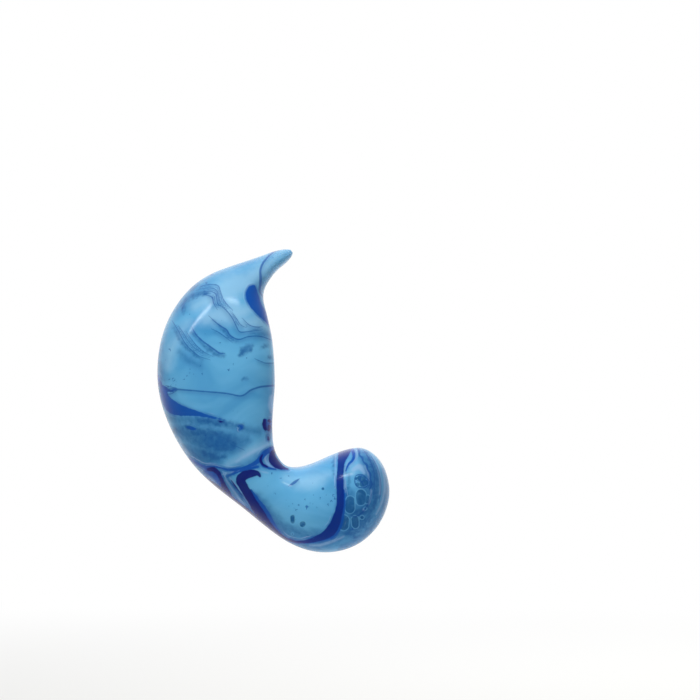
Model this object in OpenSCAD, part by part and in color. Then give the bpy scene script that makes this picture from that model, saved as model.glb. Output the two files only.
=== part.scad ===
// A squeezed stress ball: a rubber skin full of dough, closed by a plug, as a fist holds it.
// The palm is behind it (+Y), the four fingers come in from +X, and the thumb lies on the top.

/* [Ball] */
// Diameter of the ball when nobody squeezes it
ball_d = 60; // [50:0.5:100]
// Wall of the rubber skin
skin_t = 2.2; // [1.8:0.1:2.6]
// How deep the fingers press into the inner wall
finger_press = 4.5; // [2:0.5:6]
// Width of one finger, which sets the pitch of the four presses
finger_w = 15.9; // [14:0.1:18]

/* [Fill port] */
// Bore that the dough goes in by
port_d = 5; // [4:0.5:6]
// Flat moulded pad round the port
pad_d = 15; // [14:0.5:17]
// Head of the plug
head_d = 10; // [9:0.5:11]
// Thickness of the plug's head
head_t = 1.2; // [0.8:0.1:1.4]

/* [Hidden] */

nominal_d = 60;                 // the ball that the ribs below are drawn for
grow = ball_d / nominal_d;
film = 0.1;                     // working gap between the skin and the dough
fit = 0.05;                     // radial gap of the plug in its port

outer_rings = 52;
outer_sides = 44;
inner_rings = 40;
inner_sides = 24;

// Where the four fingers press, along the inner wall: the index finger's height, then one finger_w each
index_z = 28.3;
press_aim = -10;                // degrees round the wall, behind the front lip
press_spread = 34;              // degrees that a finger pad covers
ridge = 0.45;                   // share of the press left between two fingers
lip_square = 0.7;               // extra squareness of the wall that the fingers press

// Middle of the fill port, on the palm's side of the upper lobe
port_x = -17;
port_z = 8;
pad_y = 18.6;                   // the pad's face
boss_t = 4.6;                   // rubber under the pad's face
glue_w = 0.9;                   // width of the bead round the plug's head
glue_rise = 0.35;               // how far it stands over the pad
tail_start = 3;                 // the rib where the cavity begins, past the pinched tail

// Ribs from the pinched tail, between thumb and index finger, to the free lobe under the little finger:
// [outer x, outer z, inner x, inner z, middle y, depth to the front, depth to the palm, squareness, press]
ribs = [
    [  5.2,  49.2,   5.9,  48.2, 9.0,  1.4,  1.4, 2.0, 0.0],
    [  3.4,  49.3,   5.5,  46.9, 8.2,  4.2,  3.4, 2.0, 0.0],
    [  0.0,  48.6,   3.9,  44.9, 6.5,  8.0,  6.0, 2.1, 0.0],
    [ -6.0,  46.3,   1.0,  42.3, 4.5, 12.0,  8.8, 2.1, 0.1],
    [-13.0,  43.9,  -1.2,  39.2, 3.0, 16.0, 11.2, 2.2, 0.3],
    [-20.5,  41.0,  -2.9,  36.0, 2.0, 19.5, 13.4, 2.3, 0.6],
    [-27.4,  36.2,  -3.1,  32.2, 1.2, 22.0, 15.4, 2.3, 0.9],
    [-33.2,  28.4,  -1.6,  26.5, 0.6, 23.8, 17.0, 2.3, 1.0],
    [-36.5,  20.0,  -0.2,  19.5, 0.2, 24.8, 18.0, 2.4, 1.0],
    [-37.8,  11.0,   0.6,  11.5, 0.0, 25.2, 18.4, 2.4, 1.0],
    [-37.3,   2.5,   0.6,   4.0, 0.0, 25.0, 18.4, 2.4, 1.0],
    [-35.0,  -5.5,   0.1,  -3.0, 0.0, 24.2, 18.2, 2.4, 1.0],
    [-31.0, -14.0,  -0.2,  -9.5, 0.0, 23.0, 17.8, 2.3, 1.0],
    [-25.0, -22.4,   0.2, -14.5, 0.0, 21.5, 17.4, 2.3, 0.9],
    [-17.5, -29.2,   1.6, -18.2, 0.0, 20.0, 17.0, 2.2, 0.7],
    [-10.2, -34.8,   4.2, -21.1, 0.0, 19.0, 16.6, 2.2, 0.4],
    [ -3.2, -40.6,   8.2, -21.8, 0.0, 18.8, 16.8, 2.1, 0.1],
    [  4.2, -46.0,  13.0, -20.4, 0.0, 19.2, 17.6, 2.1, 0.0],
    [ 12.0, -49.1,  18.6, -17.9, 0.0, 19.6, 18.6, 2.1, 0.0],
    [ 20.0, -49.4,  24.0, -16.0, 0.0, 19.2, 18.8, 2.0, 0.0],
    [ 27.2, -47.0,  28.9, -15.6, 0.0, 17.4, 17.4, 2.0, 0.0],
    [ 32.5, -42.6,  33.0, -18.0, 0.0, 14.0, 14.0, 2.0, 0.0],
    [ 35.7, -37.6,  35.9, -22.0, 0.0,  9.4,  9.4, 2.0, 0.0],
    [ 37.2, -33.0,  37.2, -26.4, 0.0,  4.4,  4.4, 2.0, 0.0],
    [ 37.5, -30.8,  37.5, -28.8, 0.0,  1.2,  1.2, 2.0, 0.0]
];
last_rib = len(ribs) - 1;

// A rib between two ribs of the list, on a smooth curve through all of them
function curve(a, b, c, d, t) =
    0.5 * (2 * b + (c - a) * t + (2 * a - 5 * b + 4 * c - d) * t * t
        + (3 * b - a - 3 * c + d) * t * t * t);
function rib_at(s) =
    let (i = min(floor(s), last_rib - 1))
    curve(ribs[max(i - 1, 0)], ribs[i], ribs[i + 1], ribs[min(i + 2, last_rib)], s - i);

// Radius of a unit oval at an angle: a circle at n = 2, and squarer as n grows
function oval(a, n) = pow(pow(abs(cos(a)), n) + pow(abs(sin(a)), n), -1 / n);

// How hard the fingers press at a height: full under each finger, less at the ridges between them
function finger_at(z) = ridge + (1 - ridge) * pow(cos(180 * (z - index_z) / finger_w), 2);

// Reach of one rib towards the inner wall, in half widths, at an angle round the rib
function reach(rib, half, a) =
    let (press = finger_press * rib[8] * finger_at(rib[3]) / half,
         turn = (a > 180 ? a - 360 : a) - press_aim)
    cos(a) * oval(a, rib[7] + (cos(a) > 0 ? lip_square : 0)) - press * exp(-pow(turn / press_spread, 2));

// The points of one rib, in order round it: the inner wall, the front, the outer wall, the palm's side
function ring(s, sides) =
    let (rib = rib_at(s),
         middle = [rib[0] + rib[2], rib[1] + rib[3]] / 2,
         arm = [rib[2] - rib[0], rib[3] - rib[1]] / 2,
         angles = [for (i = [0:sides - 1]) 360 * i / sides],
         raw = [for (a = angles) reach(rib, norm(arm), a)],
         most = max(raw))
    [for (i = [0:sides - 1])
        let (a = angles[i],
             u = raw[i] > 0 ? raw[i] / most : raw[i],
             v = sin(a) * oval(a, rib[7] + (cos(a) > 0 ? lip_square : 0)))
        grow * [middle[0] + arm[0] * u, rib[4] - (v > 0 ? rib[5] : rib[6]) * v, middle[1] + arm[1] * u]];

function rings(from, count, sides) =
    [for (i = [0:count - 1]) ring(from + (last_rib - from) * i / (count - 1), sides)];

// The same rings moved into the rubber by a depth, square to the surface
function inset(r, depth) =
    [for (i = [0:len(r) - 1]) [for (j = [0:len(r[0]) - 1])
        let (n = len(r[0]),
             along = r[min(i + 1, len(r) - 1)][j] - r[max(i - 1, 0)][j],
             round_it = r[i][(j + 1) % n] - r[i][(j + n - 1) % n],
             out = cross(round_it, along))
        r[i][j] - depth * out / norm(out)]];

function centre(points) = [for (k = [0:2]) sum([for (p = points) p[k]]) / len(points)];
function sum(list, i = 0) = i < len(list) ? list[i] + sum(list, i + 1) : 0;

// A closed solid over a list of rings, with a point at each end
module loft(r) {
    m = len(r);
    n = len(r[0]);
    tail = m * n;
    tip = tail + 1;
    points = [for (one = r) each one, centre(r[0]), centre(r[m - 1])];
    faces = [
        for (i = [0:m - 2], j = [0:n - 1])
            let (a = i * n + j, b = i * n + (j + 1) % n)
            each [[a, b + n, b], [a, a + n, b + n]],
        for (j = [0:n - 1]) [tail, j, (j + 1) % n],
        for (j = [0:n - 1]) [tip, (m - 1) * n + (j + 1) % n, (m - 1) * n + j]
    ];
    polyhedron(points, faces, convexity = 6);
}

// A disc on the port's axis, from one depth under the pad's face to another
module port_disc(d, top, bottom) {
    translate([port_x * grow, pad_y * grow - bottom, port_z * grow])
        rotate([-90, 0, 0])
            cylinder(d = d, h = bottom - top, $fn = 64);
}

module skin() color("#5fb4e3") difference() {
    union() {
        difference() {
            loft(rings(0, outer_rings, outer_sides));
            loft(inset(rings(tail_start, inner_rings, inner_sides), skin_t));
        }
        port_disc(pad_d, 0, boss_t);
    }
    port_disc(port_d, -1, boss_t + 1);
    port_disc(head_d + 2 * glue_w, -1, head_t);
}

module fill() color("#cfe4ee") difference() {
    loft(inset(rings(tail_start, inner_rings, inner_sides), skin_t + film));
    port_disc(pad_d + 2 * film, -5, boss_t + film);
}

module plug() color("#b9d9ea") {
    port_disc(head_d, 0, head_t);
    port_disc(port_d - 2 * fit, head_t, boss_t);
}

module glue_bead() color("#d8ecf5") difference() {
    port_disc(head_d + 2 * glue_w - 2 * fit, -glue_rise, head_t - fit);
    port_disc(head_d + 2 * fit, -1, head_t + 1);
}

skin();
fill();
plug();
glue_bead();
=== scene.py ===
import math

import bmesh
import bpy
import numpy as np
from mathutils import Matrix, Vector
from mathutils.bvhtree import BVHTree


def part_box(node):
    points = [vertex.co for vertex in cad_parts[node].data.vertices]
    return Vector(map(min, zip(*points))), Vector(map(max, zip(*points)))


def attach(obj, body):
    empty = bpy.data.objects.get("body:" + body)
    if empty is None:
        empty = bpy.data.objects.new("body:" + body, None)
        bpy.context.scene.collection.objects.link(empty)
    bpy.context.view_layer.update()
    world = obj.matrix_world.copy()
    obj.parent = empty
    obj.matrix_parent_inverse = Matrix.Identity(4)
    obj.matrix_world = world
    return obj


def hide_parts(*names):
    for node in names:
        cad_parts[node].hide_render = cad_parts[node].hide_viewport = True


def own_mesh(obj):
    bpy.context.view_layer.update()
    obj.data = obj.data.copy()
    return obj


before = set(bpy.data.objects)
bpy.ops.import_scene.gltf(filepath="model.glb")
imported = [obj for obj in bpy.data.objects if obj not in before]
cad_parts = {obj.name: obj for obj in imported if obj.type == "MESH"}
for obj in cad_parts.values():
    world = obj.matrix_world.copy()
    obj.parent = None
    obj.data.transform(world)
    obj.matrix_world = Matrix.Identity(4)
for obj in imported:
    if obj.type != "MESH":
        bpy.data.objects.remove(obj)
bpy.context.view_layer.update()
scene = bpy.context.scene
mm = 0.001  # the scene is in metres

merging = {
    "solid": 0.002 * mm,           # points of a solid's loose triangles nearer than this are one
    "turned": 0.005 * mm,          # and points of a turned shape
}


def sRgb(hexColour, alpha=1.0):  # a hex colour as Blender's linear values
    values = [int(hexColour[i:i + 2], 16) / 255 for i in (1, 3, 5)]
    linear = [v / 12.92 if v <= 0.04045 else ((v + 0.055) / 1.055) ** 2.4 for v in values]
    return (*linear, alpha)


def addNode(tree, kind, inputs=None, **settings):  # a node with its settings and its links
    node = tree.nodes.new(kind)
    for name, value in settings.items():
        setattr(node, name, value)
    for socket, value in (inputs or {}).items():
        if isinstance(value, bpy.types.Node):
            value = value.outputs[0]
        if isinstance(value, bpy.types.NodeSocket):
            tree.links.new(value, node.inputs[socket])
        else:
            node.inputs[socket].default_value = value
    return node


def startMaterial(name):
    material = bpy.data.materials.new(name)
    material.use_nodes = True
    material.node_tree.nodes.clear()
    return material, material.node_tree


def makePiece(name, shape):  # a bmesh as an object at the origin
    mesh = bpy.data.meshes.new(name)
    shape.to_mesh(mesh)
    shape.free()
    piece = bpy.data.objects.new(name, mesh)
    scene.collection.objects.link(piece)
    return piece


def applyModifiers(piece):
    graph = bpy.context.evaluated_depsgraph_get()
    finished = bpy.data.meshes.new_from_object(piece.evaluated_get(graph))
    piece.modifiers.clear()
    piece.data = finished


def nodeCopy(name):  # a solid's mesh, merged, as a bmesh
    shape = bmesh.new()
    shape.from_mesh(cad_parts[name].data)
    bmesh.ops.remove_doubles(shape, verts=shape.verts, dist=merging["solid"])
    return shape


def quadsAgain(shape):  # pairs loose triangles back into quads
    bmesh.ops.join_triangles(shape, faces=shape.faces, angle_face_threshold=math.pi,
                             angle_shape_threshold=math.pi, topology_influence=1.0)


def subdivided(piece, levels):
    smooth = piece.modifiers.new("smooth", "SUBSURF")
    smooth.levels = levels
    smooth.render_levels = levels
    applyModifiers(piece)


# The camera is level with the ball and looks along +Y.

camera = {
    "lens": 135,                   # mm
    "sensor": 36,                  # mm
    "frameWidth": 227.5 * mm,      # what the frame takes in at the ball
    "aimX": 24.7 * mm,
    "aimZ": 16.25 * mm,
    "farthest": 20,                # m, so that the whole floor shows
}


def makeCamera():
    data = bpy.data.cameras.new("camera")
    data.lens = camera["lens"]
    data.sensor_width = camera["sensor"]
    data.clip_end = camera["farthest"]
    eye = bpy.data.objects.new("camera", data)
    away = camera["frameWidth"] * camera["lens"] / camera["sensor"]
    eye.location = (camera["aimX"], -away, camera["aimZ"])
    eye.rotation_euler = (math.pi / 2, 0, 0)
    scene.collection.objects.link(eye)
    scene.camera = eye
    return eye


eye = makeCamera()


# The dough inside is made first, because the skin's inner wall follows it.

fillShape = {
    "smoothing": 1,
    "dough": "#d3e3ea",
    "doughDark": "#bdd3de",
    "crumb": 1.2 * mm,             # size of the dough's lumps
    "lumpHeight": 0.2 * mm,
    "lumpStrength": 0.4,
    "roughness": 0.6,
    "ior": 1.4,
}


def doughMaterial():
    # Wheat dough, kneaded: dull, slightly moist and unevenly pale
    material, tree = startMaterial("wheatDoughKneaded")
    place = addNode(tree, "ShaderNodeTexCoord").outputs["Object"]
    lumps = addNode(tree, "ShaderNodeTexNoise", {
        "Vector": place, "Scale": 1 / fillShape["crumb"], "Detail": 3,
    })
    colour = addNode(tree, "ShaderNodeMix", {0: lumps, 6: sRgb(fillShape["dough"]),
                                             7: sRgb(fillShape["doughDark"])}, data_type="RGBA")
    bump = addNode(tree, "ShaderNodeBump", {"Height": lumps, "Strength": fillShape["lumpStrength"],
                                            "Distance": fillShape["lumpHeight"]})
    surface = addNode(tree, "ShaderNodeBsdfPrincipled", {
        "Base Color": colour.outputs[2], "Roughness": fillShape["roughness"], "IOR": fillShape["ior"],
        "Normal": bump,
    })
    addNode(tree, "ShaderNodeOutputMaterial", {"Surface": surface})
    return material


def makeFill():
    shape = nodeCopy("fill")
    quadsAgain(shape)
    piece = makePiece("dough_fill", shape)
    subdivided(piece, fillShape["smoothing"])
    piece.data.shade_smooth()
    piece.data.materials.clear()
    piece.data.materials.append(doughMaterial())
    return piece


fill = makeFill()
print("fill:", len(fill.data.polygons), "faces")


# The skin is the marbled rubber shell, with the port that the plug closes.

plugLow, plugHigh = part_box("plug")
# middle of the plug's face
port = Vector(((plugLow.x + plugHigh.x) / 2, plugHigh.y, (plugLow.z + plugHigh.z) / 2))

skinShape = {
    "portClear": 8.4 * mm,         # faces this near the port's axis are made anew
    "smoothing": 2,                # Catmull-Clark levels all over
    "padRadius": 7.5 * mm,
    "padBlend": 3.0 * mm,          # the flat pad runs into the ball over this
    "headRecess": 5.9 * mm,        # radius
    "headDepth": 1.2 * mm,
    "mouth": 0.35 * mm,            # rounding of the recess's rim
    "mouthBow": 0.3,               # share of the rounding that its middle point stands off
    "bore": 2.5 * mm,              # radius
    "boreEnd": 11.0 * mm,          # over the middle plane, inside the dough's space
    "cutAbove": 6.0 * mm,          # how far the cutter stands over the pad
    "cutSides": 72,
    "film": 0.1 * mm,              # gap between the rubber and the dough
    "fineBelow": -0.12,            # faces whose normal's y is under this are halved once more
    "sharpFrom": 50,               # degrees
}


def portRadius(place):
    return math.hypot(place.x - port.x, place.z - port.z)


def outerWall():  # the outer wall alone, as quads, closed over the port
    shape = nodeCopy("skin")
    nearPort = [f for f in shape.faces if f.calc_center_median().y > 0
                and min(portRadius(v.co) for v in f.verts) < skinShape["portClear"]]
    bmesh.ops.delete(shape, geom=nearPort, context="FACES")
    reached = {min(shape.verts, key=lambda v: v.co.y)}
    rim = reached
    while rim:
        rim = {e.other_vert(v) for v in rim for e in v.link_edges} - reached
        reached = reached | rim
    bmesh.ops.delete(shape, geom=[v for v in shape.verts if v not in reached], context="VERTS")
    quadsAgain(shape)
    bmesh.ops.holes_fill(shape, edges=[e for e in shape.edges if e.is_boundary], sides=0)
    return shape


def flattenPad(shape):  # the moulded pad round the port
    for v in shape.verts:
        out = (portRadius(v.co) - skinShape["padRadius"]) / skinShape["padBlend"]
        if v.co.y > 0 and out < 1:
            t = min(max(out, 0), 1)
            v.co.y += (port.y - v.co.y) * (1 - t * t * (3 - 2 * t))


def refineFront(shape):  # the marbling that shows most gets a finer mesh
    front = [f for f in shape.faces if f.normal.y < skinShape["fineBelow"]]
    edges = {e for f in front for e in f.edges}
    bmesh.ops.subdivide_edges(shape, edges=list(edges), cuts=1, use_grid_fill=True)


def spun(profile, sides):  # a shape turned round the port's axis from (radius, y) points
    shape = bmesh.new()
    verts = [shape.verts.new((port.x + radius, y, port.z)) for radius, y in profile]
    edges = [shape.edges.new(pair) for pair in zip(verts, verts[1:])]
    bmesh.ops.spin(shape, geom=verts + edges, cent=(port.x, 0, port.z), axis=(0, 1, 0), angle=2 * math.pi,
                   steps=sides, use_merge=True)
    bmesh.ops.remove_doubles(shape, verts=shape.verts, dist=merging["turned"])
    bmesh.ops.recalc_face_normals(shape, faces=shape.faces)
    return shape


def portCutter():  # the recess and bore as one turned solid
    r, mouth, bow = skinShape["headRecess"], skinShape["mouth"], skinShape["mouthBow"] * skinShape["mouth"]
    top = port.y + skinShape["cutAbove"]
    floor = port.y - skinShape["headDepth"]
    bore, boreEnd = skinShape["bore"], skinShape["boreEnd"]
    profile = [(0, top), (r + mouth, top), (r + mouth, port.y), (r + bow, port.y - bow), (r, port.y - mouth)]
    profile += [(r, floor), (bore, floor), (bore, boreEnd), (0, boreEnd)]
    return makePiece("portCutter", spun(profile, skinShape["cutSides"]))


def cavity():  # the dough's own shape, larger by the film round it
    shape = bmesh.new()
    shape.from_mesh(fill.data)
    shape.normal_update()
    for v in shape.verts:
        v.co += v.normal * skinShape["film"]
    return makePiece("cavity", shape)


def makeSkin():
    piece = makePiece("marbled_skin", outerWall())
    subdivided(piece, skinShape["smoothing"])
    shape = bmesh.new()
    shape.from_mesh(piece.data)
    refineFront(shape)
    flattenPad(shape)
    shape.to_mesh(piece.data)
    shape.free()
    cutters = [cavity(), portCutter()]
    for cutter in cutters:
        cut = piece.modifiers.new("cut", "BOOLEAN")
        cut.object = cutter
        cut.operation = "DIFFERENCE"
        cut.solver = "EXACT"
    applyModifiers(piece)
    for cutter in cutters:
        bpy.data.objects.remove(cutter)
    piece.data.shade_smooth()
    piece.data.set_sharp_from_angle(angle=math.radians(skinShape["sharpFrom"]))
    return piece


skin = makeSkin()
triangles = len(skin.data.loops) - 2 * len(skin.data.polygons)
print("skin:", len(skin.data.polygons), "faces,", triangles, "triangles")


# The marbling is strokes of pigment, drawn on squared paper and seen from the front.
# A stroke is a list of (across, down, half width), all in squares.

paper = {
    "square": 0.325,               # mm
    "gripAcross": 274,             # the square that lies on the hand's grip
    "gripDown": 400,
    "curveSteps": 5,               # straight bits from one point of a stroke to the next
    "reach": 5.0,                  # mm, how far round a stroke its field is worked out
    "cast": 2.2,                   # mm, how far a fine line darkens one side
    "castEnds": 5,                 # one over the share of a line over which that shade comes in and goes
    "widthReach": 0.55,            # mm, how far outside a stroke its half width still holds
    "fold": 3.5,                   # mm, how far the drawing runs on past what the front shows
    "foldPasses": 24,              # passes over the mesh's edges that carry the fold
    "lift": 0.05 * mm,             # a sight line starts this far over the skin
}
drawnLayers = ("royal", "indigo", "cloud", "light", "shade", "pale", "cell")

strokes = {
    # broad royal blue
    "royal": [
        [(253.5, 287.5, 2.4), (251.8, 291.5, 5.2), (252.4, 297, 6.3), (255, 303.8, 5.8),
         (259.6, 310.2, 4.8), (264.8, 316.5, 3.7), (269.1, 322.9, 2.2), (273, 329, 0.9)],
        [(156, 371, 0.6), (158.5, 378, 1), (161, 386, 1.9), (163.4, 392.3, 3.2), (166.5, 400.4, 5),
         (172.3, 406.8, 6.4), (179.5, 410.2, 5.6), (188.4, 412, 3.9), (198.2, 413.9, 2.4),
         (207.1, 416, 1.4), (216, 418.2, 0.9), (225.9, 420.4, 0.3)],
        [(187.4, 427, 1), (191, 428, 1.8), (195.5, 429, 1)],
        [(239, 425.4, 0.5), (242, 427.4, 1), (240.4, 429.6, 0.5)],
        [(279, 446, 1.8), (271, 449.4, 2.4), (264.6, 453.4, 2.6), (260.4, 458.4, 2.4),
         (253.3, 464.2, 1.9), (241.7, 468.5, 1.3), (230, 470, 1.1), (221, 468, 0.9), (213, 466.4, 0.9),
         (205, 466.8, 1.2), (198, 464, 1.2), (190, 459, 0.9)],
        [(260.6, 459, 1.4), (262.4, 464.6, 1.4), (268.6, 468, 1.2), (276, 469.4, 0.7)],
        [(228, 476, 0.6), (238, 471.8, 1), (248, 469, 1.2), (258, 466.8, 1.2)],
        [(207, 470.4, 2.6), (212, 472.4, 4), (217, 477, 3.4), (221, 484, 2.6)],
        [(251, 490, 0.8), (256, 498, 1.8), (262.5, 507, 2.4), (269, 517, 2.4), (275, 527, 1.8),
         (281, 533.5, 1)],
        [(350.5, 447, 1.6), (353.6, 453.5, 1.4), (353, 459.6, 1.3), (348.4, 464.6, 0.9),
         (345.8, 471, 0.6)],
        [(287.4, 539.2, 1.4), (297, 542, 1.4), (306, 541.6, 2), (315, 539.4, 2.8), (323.5, 536.4, 4.2),
         (331, 532, 6), (336, 525, 6.2), (339, 516, 5.2), (341, 507, 4.4), (342.6, 498, 3),
         (343.4, 490, 1)],
        [(159, 384, 1.2), (164, 388.2, 2), (169.6, 390.6, 1.5), (175.6, 390, 0.7)],
        [(265, 420.6, 2.2), (265.4, 428, 2.2)],
        [(270, 421, 1.8), (269.4, 429, 2.2)],
    ],
    # deep indigo
    "indigo": [
        [(260, 476.4, 1), (257.6, 473.4, 2.4), (252.6, 473.2, 3.6), (247.4, 474.4, 4.2),
         (242.6, 477, 4.8), (240.6, 480.6, 4.8), (243.2, 486, 4.4), (247.4, 493.4, 4.4),
         (251.8, 500.6, 4.2), (256, 507.6, 4.4), (260.6, 514.4, 4.6), (265.6, 521.4, 4),
         (271.6, 528.2, 3), (278.6, 534, 2), (287.4, 539.2, 1.4), (297, 542, 1.3), (306, 541.6, 1.8),
         (315, 539.4, 2.6), (323.5, 536, 4), (330.5, 531, 5.2), (335, 524, 4.8), (337.6, 516, 4.2),
         (339.8, 507, 3.8), (340.4, 497, 3.7), (340, 486, 3.5), (340.2, 475, 3.4), (340.8, 466, 3.3),
         (342, 459, 4.2), (344.6, 451, 5.8), (345.6, 446, 6.4)],
        [(275, 450, 1.6), (272.4, 454.6, 3), (273, 460, 4.2), (277.6, 465, 3.8), (284, 468, 1.6),
         (288, 469, 0.7)],
        [(262.6, 454.6, 0.8), (260.6, 459, 1.2), (262.4, 464, 1.2), (267.6, 467, 0.8)],
        [(208, 469.6, 1.4), (213.4, 469.4, 2.4), (218.4, 473.4, 2.2), (221.6, 480, 1.8),
         (224, 486.4, 2.8), (227.6, 492, 2.6), (231, 497, 1.4)],
        [(203, 476.4, 0.8), (212, 482.6, 1.6), (223.1, 491.6, 2), (232.5, 499.2, 2), (245.2, 509.4, 2.2),
         (256, 519, 3), (266, 527.6, 3), (276, 534.4, 2.2)],
        [(231, 480, 0.4), (236.4, 487.6, 0.7), (242, 495.6, 0.5)],
        [(264.4, 420.6, 1.7), (264.2, 424.6, 1.9), (265.4, 429, 1.7)],
        [(268.8, 420.6, 1.6), (270.6, 421.8, 1)],
        [(269.6, 427, 2), (268.4, 429.8, 1.4)],
        [(268, 437, 0.9), (268.4, 439.4, 1.2)],
        [(217.8, 420.8, 0.5), (220.6, 421.7, 1.1), (224.4, 422.2, 0.5)],
    ],
    # soft medium blue clouds
    "cloud": [
        [(190, 431, 1), (200, 434, 4), (210, 438, 8), (222, 442, 9), (232, 444, 4)],
        [(204, 452, 2), (214, 457, 3.4), (226, 456, 2)],
        [(182.7, 312, 1.5), (184.4, 303.2, 2), (190.5, 297.2, 2.2), (199.9, 293.7, 2.2),
         (208.5, 294.2, 1.8), (214, 299, 1)],
        [(197, 284, 1), (191.5, 290, 1.2)],
        [(213, 320, 0.4), (222, 328.5, 1.2), (229, 336, 1.2), (236, 341.5, 0.8)],
        [(192, 333, 0.6), (203, 344.6, 1.4), (215, 353.5, 1.6), (224, 356, 1.2)],
        [(174, 328, 0.6), (180, 340, 0.9), (190, 351, 0.9), (201, 359, 0.5)],
        [(239.5, 355, 1.8), (244, 351.2, 3.8), (248.5, 348.6, 3.4), (252, 346, 1.8)],
        [(262.4, 347.6, 1.2), (266.4, 346.6, 1.4)],
        [(269, 357.6, 0.9), (272, 357.4, 0.9)],
        [(243.6, 379.2, 1.2), (246, 378.6, 1.2)],
        [(184.6, 426.4, 1.6), (191, 428.2, 3), (198, 430, 1.8)],
        [(196, 418, 1.2), (209, 421, 2.4), (221, 422.4, 3), (232, 424.2, 1.6)],
        [(238, 425.6, 1.4), (242.4, 427, 2.4), (239.4, 430.6, 1.2)],
        [(266, 425, 3.4)],
        [(267.8, 435, 1.4), (268.6, 439.6, 2)],
        [(366, 452, 1.5), (372.6, 463.9, 2.2), (376, 474, 2.6), (377, 485, 2.6), (376, 498, 2.6),
         (372, 511, 2.6), (365, 523, 2.8), (354, 535, 2.8)],
        [(345.4, 466, 0.5), (345, 480, 0.8), (345.8, 492, 0.8)],
        [(346, 504, 2.4), (354, 512, 3.4), (362, 512, 3.4), (368, 502, 2)],
        [(346, 532, 3.4), (356, 530, 4), (364, 520, 3.4)],
        [(348.8, 474, 0.5), (348.4, 484, 0.8), (347.6, 496, 0.6)],
        [(233.6, 473, 1), (227.8, 476.6, 1.8), (231.6, 483.6, 1.6), (237.6, 491.6, 1.4),
         (243.8, 500, 1.2)],
        [(334.8, 452, 0.8), (334, 462, 0.9), (333.9, 478, 0.5)],
    ],
    # wide, soft, lighter drifts, mostly painted light: the lighter top, a painted glow round the upper
    # highlight and the lighter top of the lobe
    "light": [
        # painted light: the top made lighter
        [(284, 252, 1), (273, 259, 4), (262, 269, 7), (248, 280, 9), (232, 286, 12), (214, 296, 8),
         (196, 306, 5)],
        # painted glow round the upper highlight
        [(204, 320, 4), (218, 315, 9), (234, 314, 9), (248, 310, 5)],
        [(188, 322, 2), (180, 334, 2.4), (172, 350, 3), (168, 366, 2.4)],
        [(230, 302, 4), (242, 322, 5), (257, 322, 5), (268, 329, 2)],
        # painted light on the top of the lobe
        [(286, 478, 2), (298, 482, 5), (314, 480, 7), (328, 474, 2)],
        [(352.6, 470, 1.4), (359, 466, 2)],
        [(277, 438, 2), (268, 443.4, 2.6), (258, 448.2, 3.2), (246, 454, 3), (236.4, 460.4, 2),
         (228, 464.4, 1)],
    ],
    # wide, soft, darker drifts, mostly painted shade: darker low down, along the lower left edge and the
    # inner right edge, and round the bottom and right of the lobe
    "shade": [
        [(163, 414, 1), (176, 419, 3), (195, 421, 4), (216, 424, 4), (238, 428, 3), (258, 432, 2)],
        [(176, 430, 5), (194, 436, 9), (213, 441, 14), (232, 443, 10), (246, 440, 4)],
        [(186, 449, 5), (202, 456, 8), (216, 458, 7)],
        # painted shade along the lower left edge
        [(196, 465, 5), (214, 476, 8), (228, 488, 8), (242, 500, 8), (256, 514, 7), (270, 527, 5)],
        [(236, 469, 3), (250, 466, 4), (262, 459, 6), (272, 455, 7)],
        [(256, 496, 3), (266, 510, 5), (277, 524, 6), (292, 535, 5)],
        [(284, 525, 2), (296, 532, 5), (308, 536, 5), (322, 536, 6)],
        # painted shade round the bottom and right of the lobe
        [(384, 470, 2), (387, 485, 3), (385.4, 500, 4), (380, 515, 5), (371, 528, 6), (358, 539, 6),
         (343, 546, 5)],
        [(292, 541, 5), (309, 544, 7), (326, 541, 8), (342, 534, 9), (355, 522, 9), (364, 508, 10),
         (369, 492, 9), (371, 476, 7), (366, 462, 4), (360, 450, 3)],
        [(349, 496, 5), (351, 510, 8), (350, 524, 9)],
        [(252, 333, 1), (262, 334, 2), (274, 335, 2)],
        [(180, 352, 1), (188, 360, 2), (200, 366, 1)],
        # painted shade along the inner right edge
        [(271, 412, 2), (271, 422, 3), (271, 432, 3)],
        [(160, 366, 2), (163, 380, 2.4)],
    ],
    # pale lilac wisps, and a painted rim light along the inner right edge
    "pale": [
        [(261.6, 286.6, 0.6), (262.6, 296, 0.8), (266.2, 304.2, 0.9), (269.4, 313.3, 0.8),
         (271.4, 320, 0.5)],
        [(268, 444.4, 0.8), (257, 449.6, 1.2), (246, 455.6, 1.2), (236.4, 461.4, 0.8)],
        # painted rim light along the inner right edge
        [(271.5, 396, 1.2), (270.4, 404, 2.2), (271.4, 412, 1.2)],
        [(178, 438, 1.2), (183, 447, 1.6), (189, 454, 1)],
        [(206, 466.2, 0.4), (211.7, 465, 0.5), (217.1, 466, 0.5), (222.6, 468.4, 0.4)],
        [(209, 477.5, 0.6), (214.4, 482.4, 1), (219, 487.4, 0.6)],
        [(267.4, 453.6, 0.8), (265.2, 458.4, 1.1), (267.2, 463, 1.1), (271, 466.4, 0.9),
         (276.4, 468.4, 0.5)],
        [(269.8, 454.6, 0.4), (268.2, 459.4, 0.6), (270.8, 463.6, 0.6), (274.6, 465.6, 0.3)],
        [(250.4, 476.2, 1.1)],
        [(336, 450, 0.4), (335.4, 462, 0.6), (335.4, 474, 0.5), (335.2, 488, 0.3)],
        [(348.6, 461, 0.4), (345.4, 467.6, 0.5), (344.7, 478, 0.5), (344.8, 492, 0.4)],
        [(355.6, 450, 0.6), (356.4, 456, 0.8), (353.6, 461.6, 0.6), (349.6, 466.6, 0.4)],
        [(364.6, 466.3, 0.4), (367.8, 473, 0.6), (368.8, 480, 0.3)],
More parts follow.
